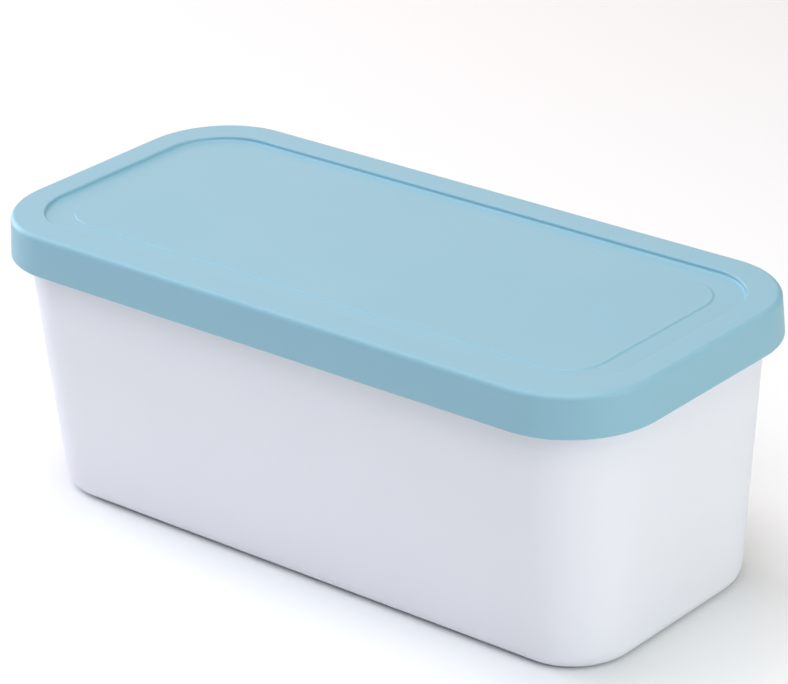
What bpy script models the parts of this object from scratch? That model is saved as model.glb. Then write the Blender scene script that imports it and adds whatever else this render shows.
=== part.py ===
"""Long ice cream storage tub with its soft lid pressed on.

The tub stands on Z = 0 with its length along X. Both pieces are lofts through
rounded rectangles, so each is a short list of outlines and the heights they lie at.
An outline is (length, width, corner radius). Every size is in metres.
"""

import math

import bmesh
import bpy

LID_OUTLINE = (0.2608, 0.1205, 0.0317)
RECESS_OUTLINE = (0.2380, 0.0970, 0.0218)
PLATEAU_OUTLINE = (0.2184, 0.0786, 0.0136)
TUB_OUTLINE_AT_LID = (0.2482, 0.1087, 0.0259)
TUB_OUTLINE_AT_FOOT = (0.2362, 0.0967, 0.0226)

LID_TOP = 0.1008
SKIRT_BOTTOM = 0.0864
SKIRT_FLARE = 0.0007
SKIRT_THICKNESS = 0.0031
SKIRT_LIP_RADIUS = 0.0006
LID_UNDERSIDE = 0.0954

LID_EDGE_RADIUS = 0.0021
BAND_FALL = 0.0002
RECESS_DEPTH = 0.0016
RECESS_EDGE_RADIUS = 0.0007
PLATEAU_RISE = 0.0004
PLATEAU_SLOPE_WIDTH = 0.0008

TUB_FOOT_RADIUS = 0.0060
RIM_BOTTOM = 0.0894
RIM_EDGE_RADIUS = 0.0008
CLEARANCE = 0.0003

CORNER_STEPS = 14
EDGE_STEPS = 5
FOOT_STEPS = 8
SHARP_ANGLE = math.radians(40)


def shrunk(outline, by):
    """The outline moved inwards all round, or outwards where by is negative."""
    length, width, radius = outline
    return (length - 2 * by, width - 2 * by, radius - by)


def between(lower, upper, share):
    """The outline that lies this share of the way from the lower one to the upper one."""
    return tuple(low + (high - low) * share for low, high in zip(lower, upper))


def rounded_edge(centre_outline, centre_height, radius, first, last):
    """Sections round an edge. Angles are in degrees: 0 faces out, 90 faces up."""
    sections = []
    for step in range(EDGE_STEPS + 1):
        angle = math.radians(first + (last - first) * step / EDGE_STEPS)
        outline = shrunk(centre_outline, -radius * math.cos(angle))
        sections.append((outline, centre_height + radius * math.sin(angle)))
    return sections


def outline_points(outline, height):
    """Points round a rounded rectangle, seen from above against the clock."""
    length, width, radius = outline
    centre_x = length / 2 - radius
    centre_y = width / 2 - radius
    points = []
    for corner, (side_x, side_y) in enumerate(((1, 1), (-1, 1), (-1, -1), (1, -1))):
        for step in range(CORNER_STEPS + 1):
            angle = math.pi / 2 * (corner + step / CORNER_STEPS)
            x = side_x * centre_x + radius * math.cos(angle)
            y = side_y * centre_y + radius * math.sin(angle)
            points.append((x, y, height))
    return points


def loft(name, sections, material, collection):
    """A closed solid through the sections, with a flat face on the first and the last."""
    mesh_data = bmesh.new()
    rings = []
    for outline, height in sections:
        rings.append([mesh_data.verts.new(point) for point in outline_points(outline, height)])
    for ring, following in zip(rings, rings[1:]):
        for index in range(len(ring)):
            other = (index + 1) % len(ring)
            mesh_data.faces.new((ring[index], ring[other], following[other], following[index]))
    mesh_data.faces.new(rings[0])
    mesh_data.faces.new(rings[-1])
    bmesh.ops.recalc_face_normals(mesh_data, faces=mesh_data.faces)
    mesh = bpy.data.meshes.new(name)
    mesh_data.to_mesh(mesh)
    mesh_data.free()
    mesh.materials.append(material)
    mesh.shade_smooth()
    mesh.set_sharp_from_angle(angle=SHARP_ANGLE)
    piece = bpy.data.objects.new(name, mesh)
    collection.objects.link(piece)
    return piece


def principled(name, color, roughness):
    material = bpy.data.materials.new(name)
    material.use_nodes = True
    shader = material.node_tree.nodes["Principled BSDF"]
    shader.inputs["Base Color"].default_value = (*color, 1.0)
    shader.inputs["Roughness"].default_value = roughness
    shader.inputs["Metallic"].default_value = 0.0
    return material


def tub_outline(height):
    """The tub's tapered wall, without its rounded foot."""
    return between(TUB_OUTLINE_AT_FOOT, TUB_OUTLINE_AT_LID, height / SKIRT_BOTTOM)


def skirt_inside():
    return shrunk(LID_OUTLINE, SKIRT_THICKNESS)


def tub_foot():
    """The rounded foot, from the flat face that the tub rests on up to its wall."""
    sections = []
    for step in range(FOOT_STEPS + 1):
        angle = math.radians(90 * step / FOOT_STEPS)
        height = TUB_FOOT_RADIUS * (1 - math.cos(angle))
        inset = TUB_FOOT_RADIUS * (1 - math.sin(angle))
        sections.append((shrunk(tub_outline(height), inset), height))
    return sections


def tub_rim():
    """The band under the lid, which fills the skirt but for a small clearance."""
    rim = shrunk(skirt_inside(), CLEARANCE)
    centre = shrunk(rim, RIM_EDGE_RADIUS)
    top = LID_UNDERSIDE - CLEARANCE
    sections = [(tub_outline(RIM_BOTTOM), RIM_BOTTOM)]
    sections += rounded_edge(centre, RIM_BOTTOM + RIM_EDGE_RADIUS, RIM_EDGE_RADIUS, -90, 0)
    sections += rounded_edge(centre, top - RIM_EDGE_RADIUS, RIM_EDGE_RADIUS, 0, 90)
    return sections


def build_tub(collection):
    sections = tub_foot() + tub_rim()
    material = principled("White plastic", (0.88, 0.88, 0.93), 0.45)
    return loft("tub", sections, material, collection)


def lid_skirt():
    """From the underside of the lid down its inner face, round the lip and up the outside."""
    lip = SKIRT_LIP_RADIUS
    inner_centre = shrunk(skirt_inside(), -lip)
    outer_centre = shrunk(LID_OUTLINE, lip)
    sections = [(skirt_inside(), LID_UNDERSIDE)]
    sections += rounded_edge(inner_centre, SKIRT_BOTTOM + lip, lip, -180, -90)
    sections += rounded_edge(outer_centre, SKIRT_BOTTOM + lip, lip, -90, 0)
    return sections


def lid_outer_edge():
    """The rounded edge between the skirt and the band on top."""
    top_of_skirt = shrunk(LID_OUTLINE, SKIRT_FLARE)
    centre = shrunk(top_of_skirt, LID_EDGE_RADIUS)
    return rounded_edge(centre, LID_TOP - LID_EDGE_RADIUS, LID_EDGE_RADIUS, 0, 90)


def lid_recess():
    """The step down inside the band, and the low plateau in the middle."""
    brink = LID_TOP - BAND_FALL
    floor = brink - RECESS_DEPTH
    edge = RECESS_EDGE_RADIUS
    sections = rounded_edge(shrunk(RECESS_OUTLINE, -edge), brink - edge, edge, 90, 180)
    sections += rounded_edge(shrunk(RECESS_OUTLINE, edge), floor + edge, edge, 0, -90)
    for step in range(EDGE_STEPS + 1):
        share = step / EDGE_STEPS
        outline = shrunk(PLATEAU_OUTLINE, PLATEAU_SLOPE_WIDTH * (share - 0.5))
        sections.append((outline, floor + PLATEAU_RISE * (1 - math.cos(math.pi * share)) / 2))
    return sections


def build_lid(collection):
    sections = lid_skirt() + lid_outer_edge() + lid_recess()
    material = principled("Pale blue silicone", (0.28, 0.52, 0.62), 0.45)
    return loft("lid", sections, material, collection)


def main():
    for old in list(bpy.data.objects):
        bpy.data.objects.remove(old, do_unlink=True)
    collection = bpy.data.collections.new("Ice cream storage tub")
    bpy.context.scene.collection.children.link(collection)
    build_tub(collection)
    build_lid(collection)


main()
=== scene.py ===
import math

import bmesh
import bpy
from mathutils import Matrix, Vector, noise


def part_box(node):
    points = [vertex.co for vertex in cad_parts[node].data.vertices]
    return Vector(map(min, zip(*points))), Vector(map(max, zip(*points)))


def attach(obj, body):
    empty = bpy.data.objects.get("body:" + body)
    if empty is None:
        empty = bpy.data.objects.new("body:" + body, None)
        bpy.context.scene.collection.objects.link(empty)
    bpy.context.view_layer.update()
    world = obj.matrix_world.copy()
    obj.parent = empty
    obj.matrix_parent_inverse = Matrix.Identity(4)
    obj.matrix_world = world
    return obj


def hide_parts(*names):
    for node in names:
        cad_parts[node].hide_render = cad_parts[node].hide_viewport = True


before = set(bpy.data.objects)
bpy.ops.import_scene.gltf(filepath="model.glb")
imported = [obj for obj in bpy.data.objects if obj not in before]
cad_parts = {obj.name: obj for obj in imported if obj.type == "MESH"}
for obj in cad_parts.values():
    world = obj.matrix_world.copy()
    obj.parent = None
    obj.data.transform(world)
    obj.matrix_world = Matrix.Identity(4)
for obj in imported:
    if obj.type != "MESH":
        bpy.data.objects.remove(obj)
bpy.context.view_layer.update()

# The freezer tub and its soft lid, shut. Lengths are in metres, angles in degrees.
lidLow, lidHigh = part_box("lid")
tubLow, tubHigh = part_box("tub")


# Rounded rectangles and the skins between them

smallestCorner = 0.0002


def outline(length, width, corner):
    return {"length": length, "width": width, "corner": corner}


def shrink(shape, by):
    # moved in all round, with its corners parallel to the old ones
    corner = max(shape["corner"] - by, smallestCorner)
    return outline(shape["length"] - 2 * by, shape["width"] - 2 * by, corner)


def blendOutlines(low, high, share):
    return {key: low[key] + (high[key] - low[key]) * share for key in low}


def ringPoints(shape, height, detail):
    # runs against the clock from the right end, with the same count of points on every ring
    halfX = shape["length"] / 2 - shape["corner"]
    halfY = shape["width"] / 2 - shape["corner"]
    corners = [(halfX, halfY), (-halfX, halfY), (-halfX, -halfY), (halfX, -halfY)]
    sides = [detail["longSide"], detail["shortSide"]] * 2
    points = []
    for turn, (centreX, centreY) in enumerate(corners):
        for step in range(detail["corner"] + 1):
            angle = math.pi / 2 * (turn + step / detail["corner"])
            x = centreX + shape["corner"] * math.cos(angle)
            y = centreY + shape["corner"] * math.sin(angle)
            points.append(Vector((x, y, height)))
        nextX, nextY = corners[(turn + 1) % 4]
        angle = math.pi / 2 * (turn + 1)
        reach = Vector((shape["corner"] * math.cos(angle), shape["corner"] * math.sin(angle), height))
        start = Vector((centreX, centreY, 0)) + reach
        end = Vector((nextX, nextY, 0)) + reach
        for step in range(1, sides[turn]):
            points.append(start.lerp(end, step / sides[turn]))
    return points


def arc(centreShape, centreHeight, radius, first, last, steps):
    # levels round an edge: 0 faces out, 90 up, -90 down and 180 in
    levels = []
    for step in range(steps + 1):
        angle = math.radians(first + (last - first) * step / steps)
        shape = shrink(centreShape, -radius * math.cos(angle))
        levels.append((shape, centreHeight + radius * math.sin(angle)))
    return levels


def skinLevels(name, levels, detail):
    mesh = bmesh.new()
    rings = []
    for shape, height in levels:
        rings.append([mesh.verts.new(point) for point in ringPoints(shape, height, detail)])
    for ring, nextRing in zip(rings, rings[1:]):
        for index in range(len(ring)):
            after = (index + 1) % len(ring)
            mesh.faces.new((ring[index], ring[after], nextRing[after], nextRing[index]))
    mesh.faces.new(rings[0])
    mesh.faces.new(rings[-1])
    bmesh.ops.recalc_face_normals(mesh, faces=mesh.faces)
    data = bpy.data.meshes.new(name)
    mesh.to_mesh(data)
    mesh.free()
    data.shade_smooth()
    piece = bpy.data.objects.new(name, data)
    bpy.context.scene.collection.objects.link(piece)
    return piece


# Finishes

noiseLow, noiseHigh = 0.3, 0.7     # the noise node's usual reach


def newMaterial(name):
    material = bpy.data.materials.new(name)
    material.use_nodes = True
    return material, material.node_tree.nodes["Principled BSDF"]


def addNoise(tree, coordinates, scale, detail, roughness):
    node = tree.nodes.new("ShaderNodeTexNoise")
    node.inputs["Scale"].default_value = scale
    node.inputs["Detail"].default_value = detail
    node.inputs["Roughness"].default_value = roughness
    tree.links.new(coordinates, node.inputs["Vector"])
    return node.outputs["Fac"]


def addRange(tree, value, low, high):
    node = tree.nodes.new("ShaderNodeMapRange")
    node.inputs["From Min"].default_value = noiseLow
    node.inputs["From Max"].default_value = noiseHigh
    node.inputs["To Min"].default_value = low
    node.inputs["To Max"].default_value = high
    tree.links.new(value, node.inputs["Value"])
    return node.outputs["Result"]


def mouldedFinish(name, look):
    # a moulded surface: faint clouds of colour, uneven gloss and a fine grain
    material, shader = newMaterial(name)
    shader.inputs["Metallic"].default_value = 0.0
    shader.inputs["IOR"].default_value = look["ior"]
    tree = material.node_tree
    coordinates = tree.nodes.new("ShaderNodeTexCoord").outputs["Object"]

    clouds = addNoise(tree, coordinates, look["cloudScale"], 3.0, 0.5)
    mix = tree.nodes.new("ShaderNodeMix")
    mix.data_type = "RGBA"
    mix.inputs["A"].default_value = (*look["color"], 1.0)
    mix.inputs["B"].default_value = (*look["cloudColor"], 1.0)
    tree.links.new(addRange(tree, clouds, 0.0, 1.0), mix.inputs["Factor"])
    tree.links.new(mix.outputs["Result"], shader.inputs["Base Color"])

    gloss = addNoise(tree, coordinates, look["glossScale"], 2.0, 0.5)
    roughness = addRange(tree, gloss, look["roughLow"], look["roughHigh"])
    tree.links.new(roughness, shader.inputs["Roughness"])

    grain = addNoise(tree, coordinates, look["grainScale"], 4.0, 0.6)
    bump = tree.nodes.new("ShaderNodeBump")
    bump.inputs["Strength"].default_value = look["grainStrength"]
    bump.inputs["Distance"].default_value = look["grainDepth"]
    tree.links.new(grain, bump.inputs["Height"])
    tree.links.new(bump.outputs["Normal"], shader.inputs["Normal"])
    return material


def dress(piece, material, node):
    piece.data.materials.append(material)
    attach(piece, "root")
    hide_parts(node)


# Tub: white plastic, tapered, with a rounded foot and a plain rim under the lid

tub = {
    "endsAtLid": 0.0063,           # from the lid's outline in to the wall, where the skirt ends
    "sidesAtLid": 0.0059,
    "endsAtFoot": 0.0123,
    "sidesAtFoot": 0.0119,
    "cornerAtLid": 0.0259,
    "cornerAtFoot": 0.0226,
    "footRadius": 0.0060,
    "rimHeight": 0.0057,
    "rimEdge": 0.0008,
    "rimCorner": 0.0283,
    "footLevels": 12,
    "wallLevels": 14,
    "edgeLevels": 6,
    "detail": {"corner": 20, "longSide": 40, "shortSide": 16},
}

tubLook = {
    "color": (0.875, 0.877, 0.922),
    "cloudColor": (0.867, 0.869, 0.914),
    "cloudScale": 14.0,
    "glossScale": 30.0,
    "roughLow": 0.42,
    "roughHigh": 0.48,
    "grainScale": 2600.0,
    "grainStrength": 0.12,
    "grainDepth": 0.00004,
    "ior": 1.50,
}


def insetFromLid(ends, sides, corner):
    length, width = lidHigh.x - lidLow.x, lidHigh.y - lidLow.y
    return outline(length - 2 * ends, width - 2 * sides, corner)


def tubWall(height):
    # the tapered wall, without its rounded foot
    foot = insetFromLid(tub["endsAtFoot"], tub["sidesAtFoot"], tub["cornerAtFoot"])
    top = insetFromLid(tub["endsAtLid"], tub["sidesAtLid"], tub["cornerAtLid"])
    return blendOutlines(foot, top, height / lidLow.z)


def buildTub():
    radius = tub["footRadius"]
    levels = []
    for step in range(tub["footLevels"] + 1):
        angle = math.radians(90 * step / tub["footLevels"])
        height = radius * (1 - math.cos(angle))
        levels.append((shrink(tubWall(height), radius * (1 - math.sin(angle))), height))
    rimBottom = tubHigh.z - tub["rimHeight"]
    for step in range(1, tub["wallLevels"] + 1):
        height = radius + (rimBottom - radius) * step / tub["wallLevels"]
        levels.append((tubWall(height), height))
    edge = tub["rimEdge"]
    rim = outline(tubHigh.x - tubLow.x, tubHigh.y - tubLow.y, tub["rimCorner"])
    levels += arc(shrink(rim, edge), rimBottom + edge, edge, -90, 0, tub["edgeLevels"])
    levels += arc(shrink(rim, edge), tubHigh.z - edge, edge, 0, 90, tub["edgeLevels"])
    piece = skinLevels("tubBody", levels, tub["detail"])
    dress(piece, mouldedFinish("whitePlastic", tubLook), "tub")


# Lid: pale blue silicone with a soft outer edge, a step down and a low plateau

lid = {
    "corner": 0.0317,
    "flare": 0.0007,               # how much wider the skirt is at its lip
    "skirt": 0.0031,
    "lip": 0.0006,
    "plate": 0.0054,
    "edge": 0.0021,
    "bandFall": 0.0002,            # the band falls this much towards the recess
    "bandAtEnds": 0.0114,
    "bandAtSides": 0.01175,
    "recessCorner": 0.0218,
    "recessDepth": 0.0016,
    "recessEdge": 0.0007,
    "ringAtEnds": 0.0098,          # flat ring between the step and the plateau
    "ringAtSides": 0.0092,
    "plateauCorner": 0.0136,
    "plateauRise": 0.0004,
    "plateauSlope": 0.0008,        # width of the soft slope up to the plateau
    "hold": 0.0004,                # rings this far from an edge keep the flats flat
    "waviness": 0.00004,           # the soft sheet is never quite flat
    "wavinessScale": 22.0,
    "wavinessFrom": 0.0010,        # starts this far above the underside
    "skirtLevels": 5,
    "edgeLevels": 12,
    "smallEdgeLevels": 6,
    "slopeLevels": 8,
    "plateauLevels": 12,
    "detail": {"corner": 20, "longSide": 48, "shortSide": 18},
}

lidLook = {
    "color": (0.282, 0.519, 0.622),
    "cloudColor": (0.276, 0.511, 0.614),
    "cloudScale": 11.0,
    "glossScale": 24.0,
    "roughLow": 0.42,
    "roughHigh": 0.48,
    "grainScale": 3200.0,
    "grainStrength": 0.10,
    "grainDepth": 0.00003,
    "ior": 1.50,
}


def skirtLevels(outer, underside, bottom, top):
    # from the underside down the inner face, round the lip, and up to the flat band
    inside = shrink(outer, lid["skirt"])
    lip, edge = lid["lip"], lid["edge"]
    levels = [(inside, underside)]
    levels += arc(shrink(inside, -lip), bottom + lip, lip, -180, -90, lid["smallEdgeLevels"])
    levels += arc(shrink(outer, lip), bottom + lip, lip, -90, 0, lid["smallEdgeLevels"])
    skirtTop = shrink(outer, lid["flare"])
    for step in range(1, lid["skirtLevels"]):
        share = step / lid["skirtLevels"]
        height = bottom + lip + (top - edge - bottom - lip) * share
        levels.append((blendOutlines(outer, skirtTop, share), height))
    levels += arc(shrink(skirtTop, edge), top - edge, edge, 0, 90, lid["edgeLevels"])
    return levels


def stepLevels(recess, brink, floor):
    edge, hold = lid["recessEdge"], lid["hold"]
    levels = [(shrink(recess, -edge - hold), brink)]
    levels += arc(shrink(recess, -edge), brink - edge, edge, 90, 180, lid["smallEdgeLevels"])
    levels += arc(shrink(recess, edge), floor + edge, edge, 0, -90, lid["smallEdgeLevels"])
    levels += [(shrink(recess, edge + hold), floor)]
    return levels


def plateauLevels(plateau, floor):
    slope, hold, rise = lid["plateauSlope"], lid["hold"], lid["plateauRise"]
    levels = [(shrink(plateau, -slope / 2 - hold), floor)]
    for step in range(lid["slopeLevels"] + 1):
        share = step / lid["slopeLevels"]
        height = floor + rise * (1 - math.cos(math.pi * share)) / 2
        levels.append((shrink(plateau, slope * (share - 0.5)), height))
    levels += [(shrink(plateau, slope / 2 + hold), floor + rise)]
    inner = plateau["width"] / 2 - hold
    for step in range(1, lid["plateauLevels"] + 1):
        levels.append((shrink(plateau, inner * step / lid["plateauLevels"]), floor + rise))
    return levels


def buildLid():
    top = lidHigh.z
    underside = top - lid["plate"]
    brink = top - lid["bandFall"]
    floor = brink - lid["recessDepth"]
    outer = insetFromLid(0, 0, lid["corner"])
    recess = insetFromLid(lid["bandAtEnds"], lid["bandAtSides"], lid["recessCorner"])
    plateau = insetFromLid(lid["bandAtEnds"] + lid["ringAtEnds"],
                           lid["bandAtSides"] + lid["ringAtSides"], lid["plateauCorner"])
    levels = skirtLevels(outer, underside, lidLow.z, top)
    levels += stepLevels(recess, brink, floor)
    levels += [(blendOutlines(recess, plateau, 0.5), floor)]
    levels += plateauLevels(plateau, floor)
    piece = skinLevels("lidCap", levels, lid["detail"])
    for vertex in piece.data.vertices:
        if vertex.co.z > underside + lid["wavinessFrom"]:
            spot = Vector((vertex.co.x, vertex.co.y, 0)) * lid["wavinessScale"]
            vertex.co.z += lid["waviness"] * (noise.noise(spot) - 1)
    dress(piece, mouldedFinish("paleBlueSilicone", lidLook), "lid")


# Stage, lights and camera

studio = {
    "floorSize": 12.0,
    "floorColor": (0.93, 0.935, 0.93),
    "floorRoughness": 0.9,
    "world": (0.846, 0.908, 1.000),
    "worldStrength": 0.065,
    "lightsAim": (0.0, 0.0, 0.05),
    "lights": {
        # name: place, size, watts, colour
        "overhead": ((0.0, 0.0, 1.75), 0.9, 12.37, (1.000, 0.991, 0.989)),
        "cameraSide": ((0.77, -0.77, 1.35), 0.9, 7.45, (0.960, 0.981, 1.000)),
        "leftLow": ((-1.65, 0.0, 0.46), 0.9, 16.07, (0.776, 0.852, 1.000)),
        "rightLow": ((1.65, 0.0, 0.46), 0.9, 7.75, (0.951, 1.000, 0.983)),
        "backLeft": ((-0.96, 1.10, 0.70), 0.9, 1.54, (1.000, 0.597, 0.457)),
        "backLeftNear": ((-0.50, 0.56, 0.42), 0.5, 0.36, (1.000, 0.598, 0.349)),
        "backHigh": ((0.0, 1.09, 1.35), 0.9, 0.61, (1.000, 0.562, 0.000)),
        "leftHigh": ((-1.09, 0.0, 1.35), 0.9, 4.30, (1.000, 0.909, 0.917)),
        "frontLeftNear": ((-0.40, -0.40, 0.75), 0.5, 1.39, (0.912, 0.914, 1.000)),
        "rightHigh": ((0.80, 0.0, 1.00), 0.7, 0.82, (0.964, 1.000, 0.943)),
        "backRightLow": ((1.17, 1.17, 0.46), 0.9, 1.44, (0.801, 0.984, 1.000)),
        "frontHigh": ((0.0, -1.09, 1.35), 0.9, 2.30, (0.755, 0.832, 1.000)),
    },
}

view = {
    "lens": 167.53,
    "azimuth": 41.06,
    "elevation": 24.45,
    "roll": -2.21,
    "distance": 1.2063,
    "aim": (-0.0026, 0.0063, 0.0642),
}


def buildFloor():
    bpy.ops.mesh.primitive_plane_add(size=studio["floorSize"], location=(0, 0, tubLow.z))
    floor = bpy.context.object
    floor.name = "studioFloor"
    material, shader = newMaterial("palePaper")
    shader.inputs["Base Color"].default_value = (*studio["floorColor"], 1.0)
    shader.inputs["Roughness"].default_value = studio["floorRoughness"]
    floor.data.materials.append(material)


def buildLights():
    world = bpy.data.worlds.new("studioWorld")
    world.use_nodes = True
    background = world.node_tree.nodes["Background"]
    background.inputs["Color"].default_value = (*studio["world"], 1.0)
    background.inputs["Strength"].default_value = studio["worldStrength"]
    bpy.context.scene.world = world
    target = Vector(studio["lightsAim"])
    for name, (place, size, watts, color) in studio["lights"].items():
        data = bpy.data.lights.new(name, "AREA")
        data.size = size
        data.energy = watts
        data.color = color
        light = bpy.data.objects.new(name, data)
        light.location = place
        light.rotation_euler = (target - light.location).to_track_quat("-Z", "Y").to_euler()
        bpy.context.scene.collection.objects.link(light)


def buildCamera():
    azimuth, elevation, roll = (math.radians(view[key]) for key in ("azimuth", "elevation", "roll"))
    back = Vector((math.sin(azimuth) * math.cos(elevation),
                   -math.cos(azimuth) * math.cos(elevation), math.sin(elevation)))
    level = Vector((math.cos(azimuth), math.sin(azimuth), 0))
    upright = back.cross(level)
    right = level * math.cos(roll) + upright * math.sin(roll)
    up = back.cross(right)
    place = Vector(view["aim"]) + back * view["distance"]
    data = bpy.data.cameras.new("photoCamera")
    data.lens = view["lens"]
    camera = bpy.data.objects.new("photoCamera", data)
    turn = Matrix((right, up, back)).transposed().to_4x4()
    camera.matrix_world = Matrix.Translation(place) @ turn
    bpy.context.scene.collection.objects.link(camera)
    bpy.context.scene.camera = camera


buildTub()
print("tub made")
buildLid()
print("lid made")
buildFloor()
buildLights()
buildCamera()
bpy.context.scene.view_settings.view_transform = "Standard"
print("studio made")
